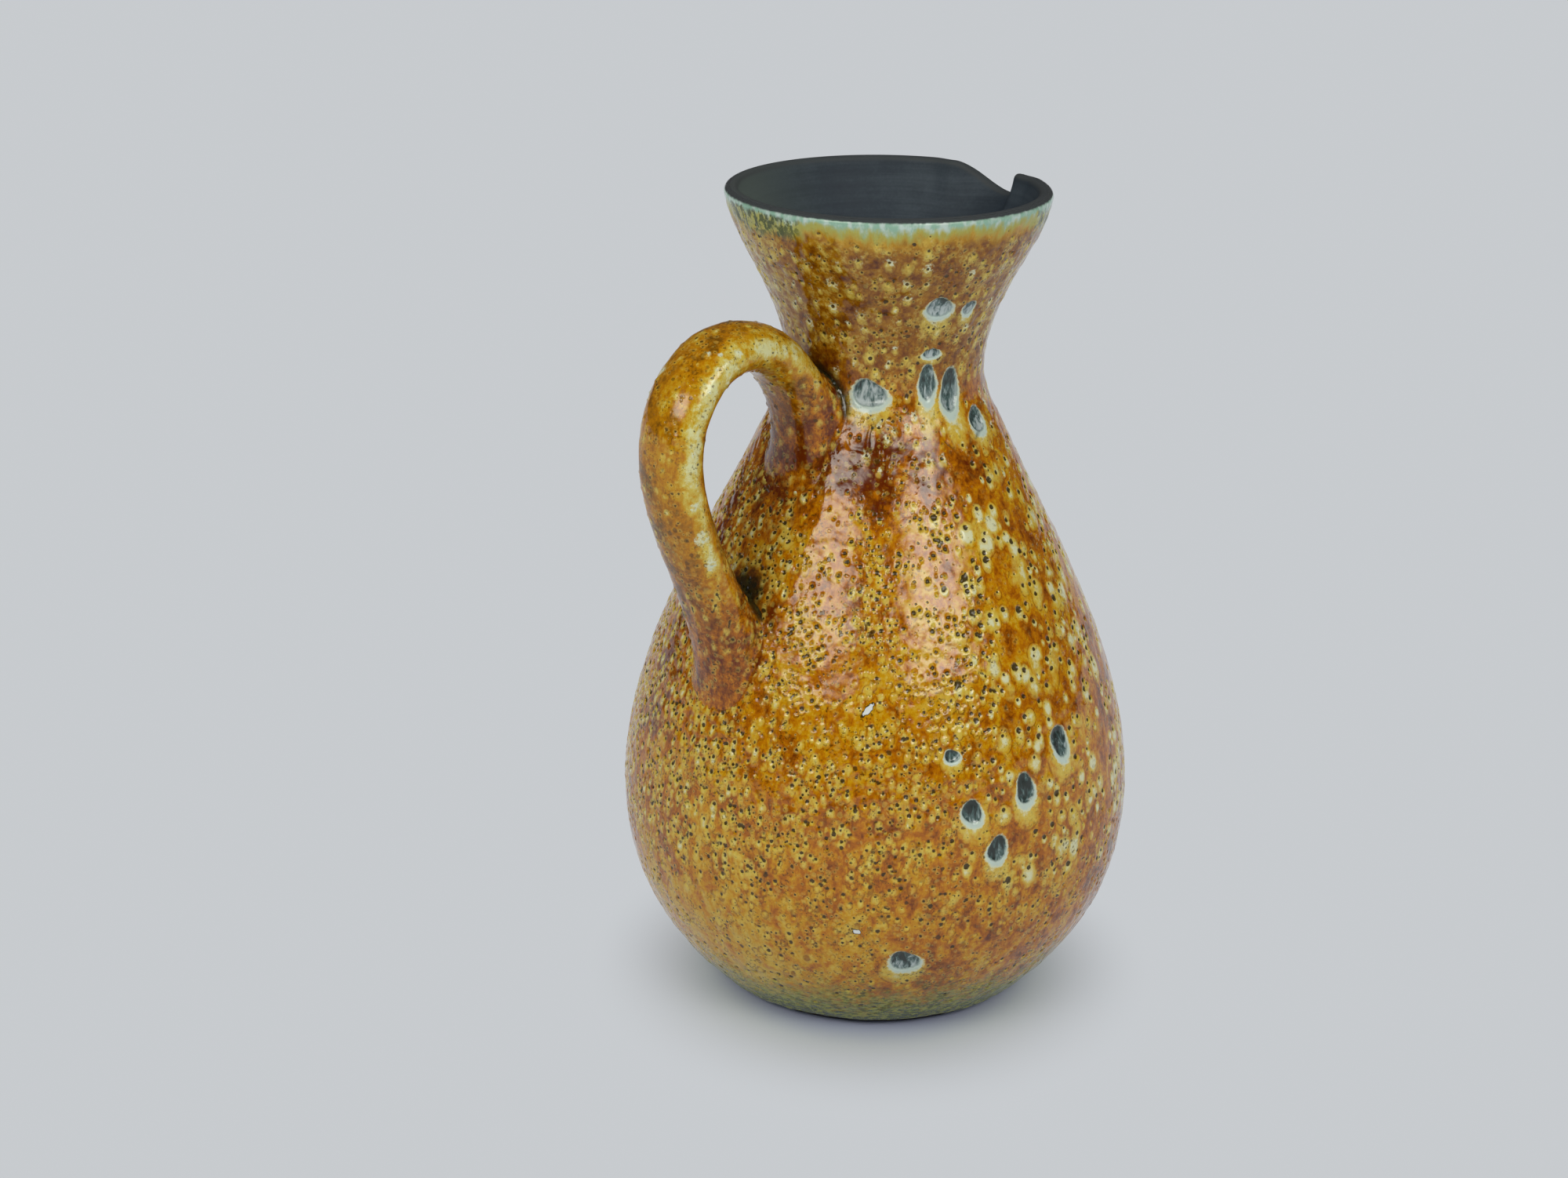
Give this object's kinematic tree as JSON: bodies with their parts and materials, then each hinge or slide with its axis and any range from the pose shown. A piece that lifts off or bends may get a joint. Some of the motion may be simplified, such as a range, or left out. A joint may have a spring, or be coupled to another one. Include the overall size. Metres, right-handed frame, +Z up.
{
  "type": "jug",
  "caption": "Pear-shaped ceramic pouring jug with a narrow waist, flared neck with a pulled lip, loop handle, dark matt lining and thick cratered amber glaze.",
  "frame": {"origin": "centre of the flat foot, on the surface the jug stands on", "axes": "+Z up along the axis the pot was thrown on, +X towards the pouring lip, -X towards the handle"},
  "size_m": [0.1726, 0.1568, 0.2508],
  "materials": {
    "clay": "matt fired clay with a dark wash",
    "slip": "matt fired slip",
    "lining": "matt slate glaze",
    "glaze": "glossy amber crater glaze with pale halos and dark pits",
    "handle_glaze": "glossy honey glaze with pale spots"
  },
  "bodies": {
    "root": {"belly": "clay", "neck": "clay", "handle": "clay", "neck_slip": "slip", "handle_upper_slip": "slip", "handle_lower_slip": "slip", "belly_lining": "lining", "neck_lining": "lining", "belly_glaze": "glaze", "neck_glaze": "glaze", "handle_glaze": "handle_glaze"}
  },
  "joints": []
}
